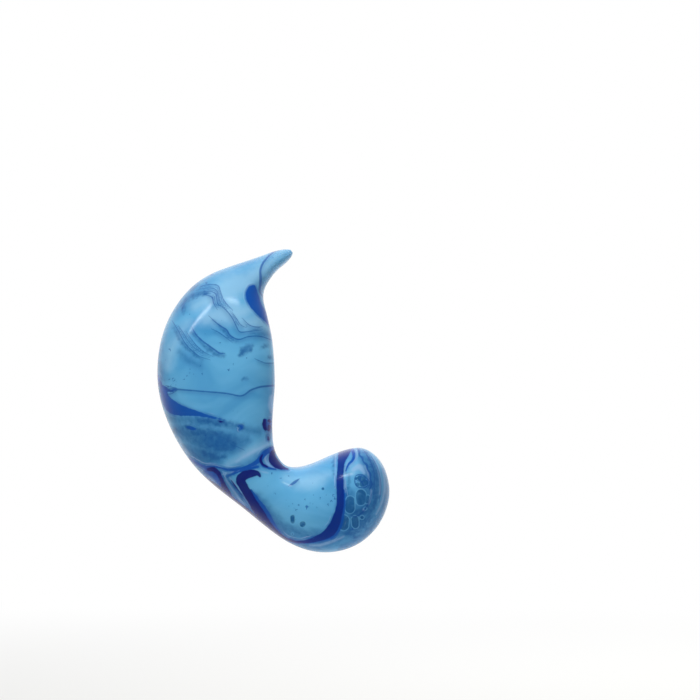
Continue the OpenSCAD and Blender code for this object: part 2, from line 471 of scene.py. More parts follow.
        [(371.4, 490, 0.4), (370.8, 496.6, 0.5), (368.4, 504, 0.4)],
        [(380.6, 462, 0.4), (383.6, 474, 0.6), (384.6, 488, 0.8), (382, 502, 0.7), (376.4, 514, 0.5)],
        [(372, 456, 0.3), (377.6, 466.6, 0.5), (380.4, 480, 0.5), (380, 494, 0.4)],
        [(353.6, 469.6, 1.6), (359.6, 467, 2.6), (364, 472.6, 1.6)],
        [(364, 509.8, 1)],
        [(309.9, 545.4, 0.6), (321, 545, 0.9), (333, 541.4, 0.8), (343.8, 536.6, 0.5)],
        [(297, 541.5, 0.2), (303, 540.6, 0.7), (307.6, 540.2, 0.6)],
        [(229.6, 477.6, 0.3), (236.4, 485.6, 0.5), (243, 494.6, 0.5), (249, 503.6, 0.4),
         (254.4, 512, 0.2)],
        [(225.6, 479, 0.3), (231.4, 487.6, 0.5), (238, 497, 0.5), (244.6, 505.4, 0.3)],
        [(222, 474.4, 0.2), (230, 472.6, 0.35), (240, 470.4, 0.4), (250.4, 467.2, 0.35),
         (257, 463.6, 0.2)],
        [(256, 470, 0.3), (262, 471.6, 0.5), (268, 473, 0.2)],
    ],
    # round cells with pale rims
    "cell": [
        [(355.9, 478.6, 1.6)],
        [(359.6, 478, 2.4), (363.6, 478.6, 2.4)],
        [(357.4, 484.4, 2)],
        [(362, 484, 2.6), (365.6, 482.6, 2.6)],
        [(361, 494.5, 4.9), (360.8, 500.5, 4.6)],
        [(368, 497, 1.6), (367, 502, 1.4)],
        [(350.2, 500.5, 4.1), (349.9, 508.5, 4.5)],
        [(343.6, 520.4, 5.2), (343.6, 525.4, 4.8)],
        [(355, 519.6, 3.4), (355.4, 524.8, 3.2)],
        [(362, 517.4, 1.6)], [(322.8, 488.8, 1.5)],
        [(292.6, 517, 2.2), (292.6, 521.6, 2)],
        [(302.7, 524.2, 2.9)], [(292.3, 534, 0.7)], [(365.4, 508.6, 1.1)],
    ],
    # fine dark lines
    "hair": [
        [(262.6, 297, 0.4), (259.6, 291, 1), (260.2, 284.6, 1.4), (260.6, 278.3, 1.4),
         (260.2, 271.9, 1.2), (261.2, 266.8, 1.1), (263.8, 261.7, 1), (268.8, 255.9, 0.8),
         (273.3, 252.1, 0.6), (279.6, 249.6, 0.4)],
        [(357.4, 447, 0.8), (359.2, 451.6, 1.1), (359.6, 455.4, 0.8), (362.2, 457.6, 1.1),
         (363.4, 461.6, 0.7), (366.8, 465, 1.1), (367.6, 469.6, 0.8), (370.4, 474, 1),
         (370.6, 479.6, 0.9), (371.6, 484.4, 1.3), (370, 488.4, 0.8)],
        [(355.2, 476.4, 0.4), (358, 474.8, 0.7), (362.6, 475, 0.8), (366.2, 477.6, 0.8),
         (368.2, 482, 0.8), (366.4, 486.6, 0.7), (361.6, 487.6, 0.6), (357, 486.4, 0.6),
         (354.8, 482, 0.6), (355.2, 477, 0.4)],
        [(361, 476, 0.4), (360.2, 480, 0.6), (362.6, 483.6, 0.6), (364.4, 487, 0.4)],
        [(357.6, 480.6, 0.4), (361, 481.4, 0.6), (366.6, 480.6, 0.4)],
        [(186, 331, 0.1), (190.6, 338, 0.3), (197, 346, 0.4), (205, 352.6, 0.3), (212.6, 356.4, 0.1)],
        [(178, 325, 0.1), (183.4, 333, 0.3), (188.4, 341, 0.3), (195, 348.4, 0.3), (202.6, 353.6, 0.1)],
        [(196, 290.4, 0.1), (203.4, 288.4, 0.3), (211, 288, 0.35), (216.6, 290.4, 0.35),
         (218.8, 297, 0.35), (221, 303, 0.3), (226.6, 309, 0.1)],
        [(232, 312, 0.1), (236.6, 318.6, 0.3), (240.6, 324.6, 0.3), (246, 327.6, 0.1)],
        [(190, 369, 0.6)], [(195.4, 376.2, 0.5)], [(187, 375.6, 0.4)], [(172.4, 378.6, 0.5)],
        [(174.6, 380.4, 0.4)], [(176, 385, 0.5)], [(171.4, 386.4, 0.4)], [(201.8, 373.6, 0.5)],
        [(214, 367, 0.4)], [(233, 363.6, 0.4)], [(176, 368, 0.4)], [(181.6, 372.8, 0.4)],
        [(296, 509.6, 0.6)], [(302, 511, 0.4)], [(310, 503, 0.5)], [(316.6, 508, 0.4)],
        [(304.6, 499.6, 0.5)], [(286, 500, 0.4)], [(320, 497.6, 0.5)], [(327.6, 504.6, 0.6)],
        [(333, 494.6, 0.6)], [(334.8, 487, 0.5)], [(268, 486, 0.4)], [(275.4, 493, 0.4)],
        [(281, 478.4, 0.4)],
        [(200.5, 287, 0.5), (204.5, 285.2, 0.4), (210.3, 284.3, 0.4), (218, 285.6, 0.4),
         (220.6, 292, 0.4), (223.2, 298.9, 0.4), (227.5, 305, 0.4), (232.7, 310.1, 0.2)],
        [(204, 291.6, 0.3), (210.3, 291.2, 0.4), (215.5, 293.8, 0.5), (216.8, 298.9, 0.5),
         (218, 304.1, 0.5), (223.2, 307.5, 0.5), (228.4, 312.7, 0.5), (232.7, 318.7, 0.5),
         (236.1, 325.6, 0.5), (239.6, 331.7, 0.5), (246.5, 331.7, 0.4), (253.4, 330.8, 0.4),
         (262, 329.9, 0.2)],
        [(205.1, 294.6, 0.2), (212, 297.2, 0.5), (213.7, 303.2, 0.5), (217, 309, 0.2)],
        [(209, 316, 0.2), (215.5, 322.2, 0.5), (221.5, 326.5, 0.6), (226.7, 329.9, 0.7),
         (229.2, 334.2, 0.7), (233.5, 337.7, 0.7), (239.6, 339.4, 0.6), (247.3, 336.8, 0.5),
         (256.8, 336, 0.5), (265.4, 337.7, 0.5), (274, 341.4, 0.4)],
        [(212, 329, 0.2), (218.9, 332.5, 0.4), (224.9, 336.8, 0.4), (231.8, 342, 0.2)],
        [(192, 327, 0.2), (193.6, 330.5, 0.5), (196.5, 335.1, 0.7), (201.7, 340.3, 0.7),
         (208.6, 345.4, 0.8), (214.6, 349.7, 0.8), (219.8, 353.2, 0.8), (224.4, 353.2, 0.4)],
        [(172.4, 321, 0.2), (174.1, 323.9, 0.4), (178.4, 330.8, 0.4), (181.9, 337.7, 0.4),
         (186.2, 344.6, 0.4), (193, 351.5, 0.4), (200, 356.6, 0.3), (209.6, 359.6, 0.2)],
        [(242.6, 318.4, 0.2), (249.1, 324.8, 0.4), (255.9, 326.9, 0.4), (262, 326.5, 0.2)],
        [(255.4, 359, 0.3), (262, 361.8, 0.4), (266.3, 363.1, 0.4), (276, 363, 0.4)],
        [(159, 383, 0.6), (164.3, 387.9, 0.9), (170.5, 391, 0.9), (175.9, 389.4, 1), (187.5, 390.1, 0.8),
         (203.6, 391.4, 0.7), (221.4, 392.8, 0.8), (230.4, 394.1, 0.8), (239.3, 395.9, 0.8),
         (244.6, 394.6, 0.8), (250, 390.5, 0.9), (255.4, 388.3, 0.9), (262.5, 386.5, 1),
         (278, 385.4, 1.1)],
        [(166, 385.5, 0.3), (171.5, 387.2, 0.5), (176.4, 388, 0.3)],
        [(166.5, 395, 0.3), (172, 393.4, 0.5), (176.5, 390.6, 0.4)],
        [(228.5, 480.1, 0.3), (232.5, 484.8, 0.5), (237.9, 490.2, 0.6), (243.4, 496.4, 0.3)],
        [(351, 515.8, 0.3), (355, 516.6, 0.6), (359.6, 514.6, 0.5), (363.6, 511, 0.6), (368.6, 503, 0.5),
         (372, 493, 0.3)],
        [(371.3, 456.3, 0.3), (376.9, 466.1, 0.4), (380.2, 477.5, 0.4), (381, 489.8, 0.4),
         (379, 502, 0.3)],
        [(364, 451, 0.3), (369.6, 459.4, 0.4), (373.6, 470, 0.4), (374.6, 482, 0.4), (373.6, 494, 0.3)],
        [(237.2, 446.6, 0.2), (244, 450, 0.2)],
        [(288.6, 486.2, 0.2), (291.4, 484.4, 1), (294.4, 482.4, 1.4), (297, 480.4, 1),
         (299.6, 478.6, 0.2)],
        [(298.7, 505, 0.9)], [(306.7, 506.6, 1.4)], [(292.7, 503.8, 0.6)], [(294, 508, 0.5)],
        [(289, 506.2, 0.5)], [(326.2, 495, 0.5)], [(313.5, 495, 0.5)], [(331.4, 500.6, 0.7)],
        [(334.6, 499, 0.8)], [(330, 492, 0.4)], [(189.6, 373, 0.8)], [(193.5, 374.3, 0.7)],
        [(170.2, 349.3, 0.7)], [(220.6, 342.9, 0.6)], [(228.8, 370.4, 0.8)], [(206, 282.6, 0.7)],
        [(209.6, 275.2, 0.5), (212.6, 274.4, 0.6)],
        [(173, 383, 0.5)], [(176.4, 381.4, 0.4)], [(170, 379.4, 0.5)], [(180.6, 384, 0.4)],
        [(184.6, 379.4, 0.4)], [(200.6, 366.4, 0.5)], [(183, 362, 0.4)], [(352.9, 529.3, 0.8)],
        [(346, 489, 0.6)], [(233, 411, 0.5)], [(237.6, 412, 0.5)],
    ],
}


def smoothStroke(points):  # a smooth curve through a stroke's points, with their widths
    points = points if len(points) > 1 else points * 2
    p = np.array([points[0], *points, points[-1]], float)
    path = []
    for a, b, c, d in zip(p, p[1:], p[2:], p[3:]):
        for t in np.arange(paper["curveSteps"]) / paper["curveSteps"]:
            square = (2 * a - 5 * b + 4 * c - d) * t ** 2
            cube = (3 * b - a - 3 * c + d) * t ** 3
            path.append(0.5 * (2 * b + (c - a) * t + square + cube))
    path.append(p[-1])
    path = np.array(path)
    across = (path[:, 0] - paper["gripAcross"]) * paper["square"]
    up = (paper["gripDown"] - path[:, 1]) * paper["square"]
    return np.stack([across, up, path[:, 2] * paper["square"]], 1)


def strokeFields(places, layer):
    # For each place, in mm: how far outside the nearest stroke's edge it is, its signed distance from
    # that stroke's middle line, and the stroke's half width there; and a share that is 1 along the
    # stroke's lower side and falls away from it and towards its ends
    outside = np.full(len(places), paper["reach"])
    side = np.full(len(places), paper["reach"])
    width = np.full(len(places), -1.0)
    under = np.zeros(len(places))
    for stroke in strokes[layer]:
        path = smoothStroke(stroke)
        low = path[:, :2].min(0) - paper["reach"]
        high = path[:, :2].max(0) + paper["reach"]
        near = np.nonzero(((places > low) & (places < high)).all(1))[0]
        if len(near) == 0:
            continue
        spot = places[near]
        bestOut, bestSide, bestWidth = outside[near], side[near], width[near]
        bestUnder = np.zeros(len(near))
        nearest = np.full(len(near), paper["reach"])
        for step, (a, b) in enumerate(zip(path, path[1:])):
            along = b[:2] - a[:2]
            t = np.clip((spot - a[:2]) @ along / max(along @ along, 1e-9), 0, 1)
            gap = spot - a[:2] - t[:, None] * along
            distance = np.hypot(gap[:, 0], gap[:, 1])
            half = a[2] + t * (b[2] - a[2])
            closer = distance - half < bestOut
            turn = np.where(along[0] * gap[:, 1] - along[1] * gap[:, 0] < 0, -1.0, 1.0)
            bestOut = np.where(closer, distance - half, bestOut)
            bestSide = np.where(closer, distance * turn, bestSide)
            bestWidth = np.where(closer, half, bestWidth)
            share = (step + t) / (len(path) - 1)
            ends = np.minimum(1, paper["castEnds"] * np.minimum(share, 1 - share))
            cast = np.clip(1 - distance / paper["cast"], 0, 1) * ends
            bestUnder = np.where(distance < nearest, cast * (turn < 0), bestUnder)
            nearest = np.minimum(nearest, distance)
        outside[near], side[near], width[near] = bestOut, bestSide, bestWidth
        if len(stroke) > 2:
            under[near] = np.maximum(under[near], bestUnder)
    width[outside > paper["widthReach"]] = -1.0
    return outside, side, width, under


def frontShare(mesh, places):  # 1 where the camera sees the skin, falling to 0 a little past its outline
    tree = BVHTree.FromPolygons([v.co for v in mesh.vertices], [p.vertices for p in mesh.polygons])
    away = np.full(len(places), 1e3)
    for v in mesh.vertices:
        toEye = (eye.location - v.co).normalized()
        if v.normal.dot(toEye) > 0 and tree.ray_cast(v.co + toEye * paper["lift"], toEye)[0] is None:
            away[v.index] = 0
    edges = np.zeros(len(mesh.edges) * 2, np.int64)
    mesh.edges.foreach_get("vertices", edges)
    edges = edges.reshape(-1, 2)
    lengths = np.linalg.norm(places[edges[:, 0]] - places[edges[:, 1]], axis=1)
    for _ in range(paper["foldPasses"]):
        np.minimum.at(away, edges[:, 1], away[edges[:, 0]] + lengths)
        np.minimum.at(away, edges[:, 0], away[edges[:, 1]] + lengths)
    t = np.clip(away / paper["fold"], 0, 1)
    return 1 - t * t * (3 - 2 * t)


def storeField(mesh, name, values):
    mesh.attributes.new(name, "FLOAT", "POINT").data.foreach_set("value", values.astype(np.float32))


def drawMarbling(mesh):
    places = np.zeros(len(mesh.vertices) * 3)
    mesh.vertices.foreach_get("co", places)
    places = places.reshape(-1, 3) / mm
    # in mm, and keeps the pattern on in a squeeze
    rest = mesh.attributes.new("restPlace", "FLOAT_VECTOR", "POINT")
    rest.data.foreach_set("vector", places.astype(np.float32).ravel())
    storeField(mesh, "front", frontShare(mesh, places))
    # seen in perspective, the drawing's squares spread with depth
    spread = (-eye.location.y / mm) / (places[:, 1] - eye.location.y / mm)
    seenX = camera["aimX"] / mm + (places[:, 0] - camera["aimX"] / mm) * spread
    seenZ = camera["aimZ"] / mm + (places[:, 2] - camera["aimZ"] / mm) * spread
    seen = np.stack([seenX, seenZ], 1)
    for layer in drawnLayers:
        storeField(mesh, layer, strokeFields(seen, layer)[0])
    _, side, width, under = strokeFields(seen, "hair")
    storeField(mesh, "hairSide", side)
    storeField(mesh, "hairWidth", width)
    storeField(mesh, "hairUnder", under)


drawMarbling(skin.data)
print("marbling drawn")


# The skin's rubber lays its pigments one over another, drawn in front and in veins elsewhere.

rubber = {
    "light": "#65b1dd",
    "mid": "#4593c8",
    "washAndPaintedLight": "#9ccbe8",
    "cloud": "#175a9c",
    "shade": "#1a5f9f",
    "royal": "#0850ac",
    "indigo": "#050f70",
    "navy": "#022d86",
    "halo": "#1f5cae",
    "pale": "#9dbfe6",
    "cell": "#175a94",
    "hair": "#0a4a9c",
    "roughness": 0.2,
    "gloss": 0.22,                 # how strong the mirror-like part is
    "ior": 1.28,
    "lightIn": 0.08,               # share of the light that passes into the rubber
    "lightInBy": (0.6, 0.9, 1.4),  # how far red, green and blue go, as shares of the next
    "lightInDepth": 0.6 * mm,
    "drift": 22.0,                 # mm, size of the swirls where nothing is drawn
    "driftBy": 22.0,               # mm, how far they carry the veins
    "swirl": 6.0,                  # mm, size of the smaller curls on them
    "swirlBy": 2.0,                # mm
    "draw": (0.55, 0.55, 1.5),     # the rubber is drawn out sideways as it fills the mould
    "veinSpacing": 26.0,           # mm
    "swellPerVein": 1.7,           # swells and narrows in one such spacing
    "swellFrom": (0.42, 0.62),     # the noise values between which a vein goes from none to its full width
    "tone": 17.0,                  # mm, size of the ground's two light blues
    "toneFrom": (0.35, 0.65),      # the noise values between which one turns into the other
    "patch": 8.0,                  # mm, size of the stretches with and without a halo or a pale line
    "wobble": 1.6,                 # mm, size of the unevenness along a stroke's edge
    "mottle": 1.7,                 # mm, size of the grain in the clouds
    "mottleCurl": 3.0,             # mm, size of the curls in that grain, and how far they carry it
    "mottleFrom": 0.3,             # the noise value of its thin parts
    "noCell": 5.0,                 # mm outside a cell's edge, for where no cell is drawn
    "navyFrom": (2, 14),           # mm along X over which the indigo turns to navy
}
trims = {
    # what goes beside and over the coats, in mm, with "from" the noise values between which it comes in
    "cast": {"edge": 0.5, "soft": 0.5, "strength": 0.34},
    "halo": {"width": 0.45, "soft": 0.5, "from": (0.4, 0.6), "strength": (0.1, 0.75)},
    "line": {"off": 0.75, "half": 0.12, "soft": 0.14, "from": (0.5, 0.66), "strength": (0.0, 0.5)},
    "rim": {"off": 0.18, "half": 0.12, "soft": 0.2, "strength": 0.6},
    "speck": {"apart": 2.6, "largest": 0.11, "from": 0.74, "soft": 0.03, "strength": 0.65},
}
coats = {
    # seed and spacing (as a share of veinSpacing) of the veins, the noise value that they run at and their
    # half width in mm; how far the edge wanders and how soft it is, in mm; and the strength, or the
    # strengths in the thin and the thick of the mottle
    "light": {"seed": (60, 2, 33), "apart": 1.1, "runsAt": 0.52, "half": 3, "wander": 1.5, "soft": 2.6,
              "strength": 0.6},
    "shade": {"seed": (15, 45, 8), "apart": 1.3, "runsAt": 0.48, "half": 4, "wander": 1.8, "soft": 2,
              "strength": (0.6, 0.82), "thickAt": 0.65},
    "cloud": {"seed": (40, 7, 3), "apart": 0.7, "runsAt": 0.5, "half": 1.0, "wander": 2.2, "soft": 0.8,
              "strength": (0.45, 0.85), "thickAt": 0.65},
    "royal": {"seed": (3, 12, 50), "apart": 1, "runsAt": 0.5, "half": 1.5, "wander": 0.45, "soft": 0.17,
              "strength": 0.96},
    "indigo": {"seed": (71, 23, 5), "apart": 1.2, "runsAt": 0.56, "half": 1.2, "wander": 0.4, "soft": 0.2,
               "strength": 0.96},
    "pale": {"seed": (9, 31, 17), "apart": 0.8, "runsAt": 0.47, "half": 0.6, "wander": 0.5, "soft": 0.5,
             "strength": 0.5},
    "cell": {"wander": 0.3, "soft": 0.16, "strength": (0.45, 0.95), "thickAt": 0.6},
    "hair": {"seed": (3, 12, 50), "apart": 0.33, "runsAt": 0.5, "half": 0.25, "soft": 0.17, "strength": 0.72},
}


def layPigment(tree, under, outside, colour, soft, strength):
    # lays one pigment over what is under it, where the distance outside its edge is below zero
    cover = addNode(tree, "ShaderNodeMapRange", {
        "Value": outside, "From Min": soft, "From Max": -soft, "To Min": 0.0, "To Max": strength,
    }, interpolation_type="SMOOTHSTEP")
    pigment = sRgb(colour) if isinstance(colour, str) else colour
    return addNode(tree, "ShaderNodeMix", {0: cover, 6: under, 7: pigment}, data_type="RGBA").outputs[2]


def bentBy(tree, place, size, amount):  # a place carried along by a noise
    noise = addNode(tree, "ShaderNodeTexNoise", {"Vector": place, "Scale": 1 / size, "Detail": 1})
    centred = addNode(tree, "ShaderNodeVectorMath", {0: noise.outputs["Color"], 1: (0.5, 0.5, 0.5)},
                      operation="SUBTRACT")
    return addNode(tree, "ShaderNodeVectorMath", {0: centred, 1: (amount, amount, amount), 2: place},
                   operation="MULTIPLY_ADD")


def veinField(tree, flow, coat):
    # distance outside a swirling vein, in mm: the vein runs where a slow noise passes through one value
    spacing = coat["apart"] * rubber["veinSpacing"]
    shifted = addNode(tree, "ShaderNodeVectorMath", {0: flow, 1: coat["seed"]}, operation="ADD")
    slow = addNode(tree, "ShaderNodeTexNoise", {"Vector": shifted, "Scale": 1 / spacing, "Detail": 0.6})
    swell = addNode(tree, "ShaderNodeTexNoise", {
        "Vector": shifted, "Scale": 1 / (spacing / rubber["swellPerVein"]), "Detail": 0,
    })
    past = addNode(tree, "ShaderNodeMath", {0: slow, 1: coat["runsAt"]}, operation="SUBTRACT")
    far = addNode(tree, "ShaderNodeMath", {0: past}, operation="ABSOLUTE")
    farMm = addNode(tree, "ShaderNodeMath", {0: far, 1: spacing}, operation="MULTIPLY")
    thick = addNode(tree, "ShaderNodeMapRange", {
        "Value": swell, "From Min": rubber["swellFrom"][0], "From Max": rubber["swellFrom"][1],
        "To Min": -coat["half"], "To Max": coat["half"],
    })
    return addNode(tree, "ShaderNodeMath", {0: farMm, 1: thick}, operation="SUBTRACT")


def lineField(tree, outside, off, half):  # distance outside a thin line that runs along an edge, in mm
    past = addNode(tree, "ShaderNodeMath", {0: outside, 1: off}, operation="SUBTRACT")
    far = addNode(tree, "ShaderNodeMath", {0: past}, operation="ABSOLUTE")
    return addNode(tree, "ShaderNodeMath", {0: far, 1: half}, operation="SUBTRACT")


def rubberMaterial():
    # Thermoplastic rubber, injection moulded in a polished mould from pellets of two blues and a white that
    # don't quite mix: glossy, with soft-edged swirls and a little light passing into it
    material, tree = startMaterial("thermoplasticRubberMarbled")
    place = addNode(tree, "ShaderNodeAttribute", attribute_name="restPlace").outputs["Vector"]
    drawn = {}
    for name in ("front", *drawnLayers, "hairSide", "hairWidth", "hairUnder"):
        drawn[name] = addNode(tree, "ShaderNodeAttribute", attribute_name=name).outputs["Fac"]

    drifted = bentBy(tree, place, rubber["drift"], rubber["driftBy"])
    swirled = bentBy(tree, drifted, rubber["swirl"], rubber["swirlBy"])
    flow = addNode(tree, "ShaderNodeVectorMath", {0: swirled, 1: rubber["draw"]}, operation="MULTIPLY")
    wobble = addNode(tree, "ShaderNodeTexNoise", {
        "Vector": place, "Scale": 1 / rubber["wobble"], "Detail": 2,
    })
    uneven = addNode(tree, "ShaderNodeMath", {0: wobble, 1: 0.5}, operation="SUBTRACT")
    curled = bentBy(tree, place, rubber["mottleCurl"], rubber["mottleCurl"])
    mottle = addNode(tree, "ShaderNodeTexNoise", {
        "Vector": curled, "Scale": 1 / rubber["mottle"], "Detail": 5,
    })
    patch = addNode(tree, "ShaderNodeTexNoise", {"Vector": flow, "Scale": 1 / rubber["patch"], "Detail": 1})

    def edgeOf(layer):  # the drawn strokes in front, the veins elsewhere, with an uneven edge
        coat = coats[layer]
        elsewhere = veinField(tree, flow, coat) if "seed" in coat else rubber["noCell"]
        both = addNode(tree, "ShaderNodeMix", {0: drawn["front"], 2: elsewhere, 3: drawn[layer]},
                       data_type="FLOAT")
        return addNode(tree, "ShaderNodeMath", {0: uneven, 1: coat["wander"], 2: both},
                       operation="MULTIPLY_ADD")

    def strengthOf(layer):
        coat = coats[layer]
        if "thickAt" not in coat:
            return coat["strength"]
        thin, thick = coat["strength"]
        return addNode(tree, "ShaderNodeMapRange", {
            "Value": mottle, "From Min": rubber["mottleFrom"], "From Max": coat["thickAt"],
            "To Min": thin, "To Max": thick,
        })

    def patchy(trim):  # a trim's strength, which comes and goes in patches
        return addNode(tree, "ShaderNodeMapRange", {
            "Value": patch, "From Min": trim["from"][0], "From Max": trim["from"][1],
            "To Min": trim["strength"][0], "To Max": trim["strength"][1],
        })

    def laid(under, layer, edge, pigment):
        return layPigment(tree, under, edge, pigment, coats[layer]["soft"], strengthOf(layer))

    # the ground is two light blues in long soft drifts
    toneNoise = addNode(tree, "ShaderNodeTexNoise", {
        "Vector": flow, "Scale": 1 / rubber["tone"], "Detail": 3,
    })
    tone = addNode(tree, "ShaderNodeMapRange", {
        "Value": toneNoise, "From Min": rubber["toneFrom"][0], "From Max": rubber["toneFrom"][1],
    })
    colour = addNode(tree, "ShaderNodeMix", {0: tone, 6: sRgb(rubber["light"]), 7: sRgb(rubber["mid"])},
                     data_type="RGBA").outputs[2]

    # then washes and painted light, darker drifts and painted shade, the shade beside the fine lines, and
    # clouds
    # painted light in front: the top, the glow round the upper highlight and the top of the lobe made
    # lighter; pale drifts elsewhere
    colour = laid(colour, "light", edgeOf("light"), rubber["washAndPaintedLight"])
    # painted shade in front: low down, along the edges and round the bottom of the lobe; darker drifts
    # elsewhere
    colour = laid(colour, "shade", edgeOf("shade"), rubber["shade"])
    beside = addNode(tree, "ShaderNodeMath", {0: drawn["hairUnder"], 1: drawn["front"]}, operation="MULTIPLY")
    cast = trims["cast"]
    castEdge = addNode(tree, "ShaderNodeMath", {0: cast["edge"], 1: beside}, operation="SUBTRACT")
    colour = layPigment(tree, colour, castEdge, rubber["shade"], cast["soft"], cast["strength"])
    colour = laid(colour, "cloud", edgeOf("cloud"), rubber["cloud"])

    # a halo and a pale line come and go round the royal and the indigo
    broad = edgeOf("royal")
    deep = edgeOf("indigo")
    either = addNode(tree, "ShaderNodeMath", {0: broad, 1: deep}, operation="MINIMUM")
    halo, line = trims["halo"], trims["line"]
    haloEdge = addNode(tree, "ShaderNodeMath", {0: either, 1: halo["width"]}, operation="SUBTRACT")
    colour = layPigment(tree, colour, haloEdge, rubber["halo"], halo["soft"], patchy(halo))
    colour = laid(colour, "pale", edgeOf("pale"), rubber["pale"])
    lineEdge = lineField(tree, either, line["off"], line["half"])
    colour = layPigment(tree, colour, lineEdge, rubber["pale"], line["soft"], patchy(line))

    # round cells with pale rims
    cells = edgeOf("cell")
    rim = trims["rim"]
    rimEdge = lineField(tree, cells, rim["off"], rim["half"])
    colour = layPigment(tree, colour, rimEdge, rubber["light"], rim["soft"], rim["strength"])
    colour = laid(colour, "cell", cells, rubber["cell"])

    # the royal, and the indigo that turns to navy towards the lobe
    colour = laid(colour, "royal", broad, rubber["royal"])
    across = addNode(tree, "ShaderNodeSeparateXYZ", {0: place})
    toNavy = addNode(tree, "ShaderNodeMapRange", {
        "Value": across, "From Min": rubber["navyFrom"][0], "From Max": rubber["navyFrom"][1],
    })
    dark = addNode(tree, "ShaderNodeMix", {0: toNavy, 6: sRgb(rubber["indigo"]), 7: sRgb(rubber["navy"])},
                   data_type="RGBA").outputs[2]
    colour = laid(colour, "indigo", deep, dark)

    # fine dark lines
    hairFar = addNode(tree, "ShaderNodeMath", {0: drawn["hairSide"]}, operation="ABSOLUTE")
    hairs = addNode(tree, "ShaderNodeMath", {0: hairFar, 1: drawn["hairWidth"]}, operation="SUBTRACT")
    threads = veinField(tree, flow, coats["hair"])
    fine = addNode(tree, "ShaderNodeMix", {0: drawn["front"], 2: threads, 3: hairs}, data_type="FLOAT")
    colour = laid(colour, "hair", fine, rubber["hair"])

    # specks of unmixed pigment: "largest" is a radius as a share of the distance apart, and "from" the share
    # of the places that have none
    speck = trims["speck"]
    grains = addNode(tree, "ShaderNodeTexVoronoi", {"Vector": place, "Scale": 1 / speck["apart"]})
    grainShare = addNode(tree, "ShaderNodeSeparateColor", {0: grains.outputs["Color"]})
    grainSize = addNode(tree, "ShaderNodeMapRange", {
        "Value": grainShare, "From Min": speck["from"], "From Max": 1.0, "To Max": speck["largest"],
    })
    speckEdge = addNode(tree, "ShaderNodeMath", {0: grains, 1: grainSize}, operation="SUBTRACT")
    colour = layPigment(tree, colour, speckEdge, rubber["hair"], speck["soft"], speck["strength"])

    surface = addNode(tree, "ShaderNodeBsdfPrincipled", {
        "Base Color": colour, "Roughness": rubber["roughness"], "IOR": rubber["ior"],
        "Specular IOR Level": rubber["gloss"], "Subsurface Weight": rubber["lightIn"],
        "Subsurface Radius": rubber["lightInBy"], "Subsurface Scale": rubber["lightInDepth"],
    })
    addNode(tree, "ShaderNodeOutputMaterial", {"Surface": surface})
    return material


skin.data.materials.clear()
skin.data.materials.append(rubberMaterial())
print("skin's rubber mixed")


# The plug and its bead of glue are on the palm's side.

plugShape = {
    "head": 5.0 * mm,              # radius
    "thick": 1.2 * mm,
    "stem": 2.45 * mm,             # radius
    "rounding": 0.3 * mm,
    "gate": 0.9 * mm,              # radius of the moulding mark in the middle of the head
    "gateDepth": 0.18 * mm,
    "gateFlat": 0.8,               # share of its radius that is flat
    "gateRim": (0.2 * mm, 0.02 * mm),  # how far out and down its rim eases
    "rubber": "#9fd0ea",
    "rubberDeep": "#86bfe2",
    "cloudy": 4.0 * mm,            # size of the paler patches
    "grain": 0.35 * mm,            # of the moulded texture
    "grainDepth": 0.05 * mm,
    "grainStrength": 0.25,
    "roughness": 0.42,
    "ior": 1.45,
    "lightIn": 0.3,
    "lightInBy": (0.8, 1, 1.3),
    "lightInDepth": 1.0 * mm,
}
beadShape = {
    "inner": 5.05 * mm,
    "outer": 5.85 * mm,
    "depth": 1.15 * mm,
    "rise": 0.35 * mm,
    "crownSteps": 10,
    "uneven": 0.18,                # share by which the bead's height wanders
    "waves": ((3, 0, 0.5), (7, 1, 0.3), (11, 2, 0.2)),  # waves round the bead, where they start, their share
    "glue": "#d5e8f2",
    "glueClear": "#f2f8fb",
    "bubble": 0.6 * mm,
    "bubbleDepth": 0.05 * mm,
    "bubbleStrength": 0.2,
    "roughness": 0.15,
    "ior": 1.47,
    "clear": 0.35,                 # share of the light that goes through
}
turning = {
    "sides": 96,
    "cornerSteps": 5,
    "sharpFrom": 40,               # degrees
}


def turned(name, profile):  # a piece turned round the port's axis from (radius, height over the pad) points
    piece = makePiece(name, spun([(radius, port.y + height) for radius, height in profile], turning["sides"]))
    piece.data.shade_smooth()
    piece.data.set_sharp_from_angle(angle=math.radians(turning["sharpFrom"]))
    return piece


def roundedCorner(radius, height, r, start, end):  # points round a corner whose centre is given
    steps = turning["cornerSteps"]
    turns = [math.radians(start + (end - start) * i / steps) for i in range(steps + 1)]
    return [(radius + r * math.cos(t), height + r * math.sin(t)) for t in turns]


def plugMaterial():
    # Translucent thermoplastic rubber, moulded with a fine matt texture
    material, tree = startMaterial("thermoplasticRubberTranslucent")
    place = addNode(tree, "ShaderNodeTexCoord").outputs["Object"]
    grain = addNode(tree, "ShaderNodeTexNoise", {
        "Vector": place, "Scale": 1 / plugShape["grain"], "Detail": 2,
    })
    cloudy = addNode(tree, "ShaderNodeTexNoise", {
        "Vector": place, "Scale": 1 / plugShape["cloudy"], "Detail": 2,
    })
    colour = addNode(tree, "ShaderNodeMix", {0: cloudy, 6: sRgb(plugShape["rubber"]),
                                             7: sRgb(plugShape["rubberDeep"])}, data_type="RGBA")
    bump = addNode(tree, "ShaderNodeBump", {"Height": grain, "Strength": plugShape["grainStrength"],
                                            "Distance": plugShape["grainDepth"]})
    surface = addNode(tree, "ShaderNodeBsdfPrincipled", {
        "Base Color": colour.outputs[2], "Roughness": plugShape["roughness"], "IOR": plugShape["ior"],
        "Normal": bump, "Subsurface Weight": plugShape["lightIn"],
        "Subsurface Radius": plugShape["lightInBy"], "Subsurface Scale": plugShape["lightInDepth"],
    })
    addNode(tree, "ShaderNodeOutputMaterial", {"Surface": surface})
    return material


